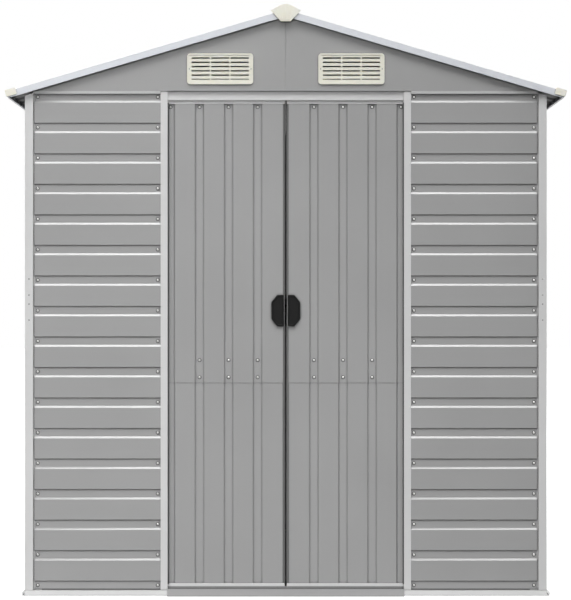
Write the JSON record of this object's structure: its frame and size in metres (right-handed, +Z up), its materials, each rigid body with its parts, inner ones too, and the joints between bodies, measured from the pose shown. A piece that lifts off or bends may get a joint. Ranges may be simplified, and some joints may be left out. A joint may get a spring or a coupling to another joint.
{
  "type": "metal storage shed",
  "caption": "Walk-in garden shed of ribbed steel sheet on a folded base frame, with a gable roof, louvred gable vents and sliding doors that hang from an overhead track.",
  "frame": {"origin": "on the ground under the centre of the roof", "axes": "+Z up, -Y out of the doors, +X to the right of someone facing the doors"},
  "size_m": [1.922, 1.6795, 2.024],
  "materials": {
    "sheet_paint": "satin",
    "frame_paint": "satin",
    "trim_paint": "satin",
    "cream_plastic": "satin",
    "black_plastic": "satin",
    "zinc_steel": "satin",
    "nylon": "satin"
  },
  "bodies": {
    "shed": {"base_rail_front": "frame_paint", "base_rail_rear": "frame_paint", "base_rail_left": "frame_paint", "base_rail_right": "frame_paint", "door_ramp": "sheet_paint", "corner_post_front_left": "frame_paint", "corner_post_front_right": "frame_paint", "corner_post_rear_left": "frame_paint", "corner_post_rear_right": "frame_paint", "door_jamb_left": "frame_paint", "door_jamb_right": "frame_paint", "door_track": "frame_paint", "front_wall_left": "sheet_paint", "front_wall_right": "sheet_paint", "left_wall": "sheet_paint", "right_wall": "sheet_paint", "rear_wall": "sheet_paint", "front_wall_caps": "frame_paint", "rear_wall_cap": "frame_paint", "wall_plate_left": "zinc_steel", "wall_plate_right": "zinc_steel", "wall_braces": "zinc_steel", "front_gable": "sheet_paint", "rear_gable": "sheet_paint", "vents_front": "cream_plastic", "vents_rear": "cream_plastic", "roof_left": "sheet_paint", "roof_right": "sheet_paint", "ridge_flashing": "trim_paint", "roof_beams": "zinc_steel", "verge_trim_front": "trim_paint", "verge_trim_rear": "trim_paint", "eave_trim_left": "trim_paint", "eave_trim_right": "trim_paint", "ridge_end_cap_front": "cream_plastic", "ridge_end_cap_rear": "cream_plastic", "eave_end_caps": "cream_plastic"},
    "door_left": {"door_left_sheets": "sheet_paint", "door_left_frame": "frame_paint", "door_left_pull": "black_plastic", "door_left_sliders": "nylon"},
    "door_right": {"door_right_sheets": "sheet_paint", "door_right_frame": "frame_paint", "door_right_pull": "black_plastic", "door_right_sliders": "nylon"}
  },
  "joints": [
    {"name": "door_left_slide", "type": "slide", "parent": "shed", "child": "door_left", "axis": [-1, 0, 0], "range_m": [0, 0.345]},
    {"name": "door_right_slide", "type": "slide", "parent": "shed", "child": "door_right", "axis": [1, 0, 0], "range_m": [0, 0.345]}
  ]
}
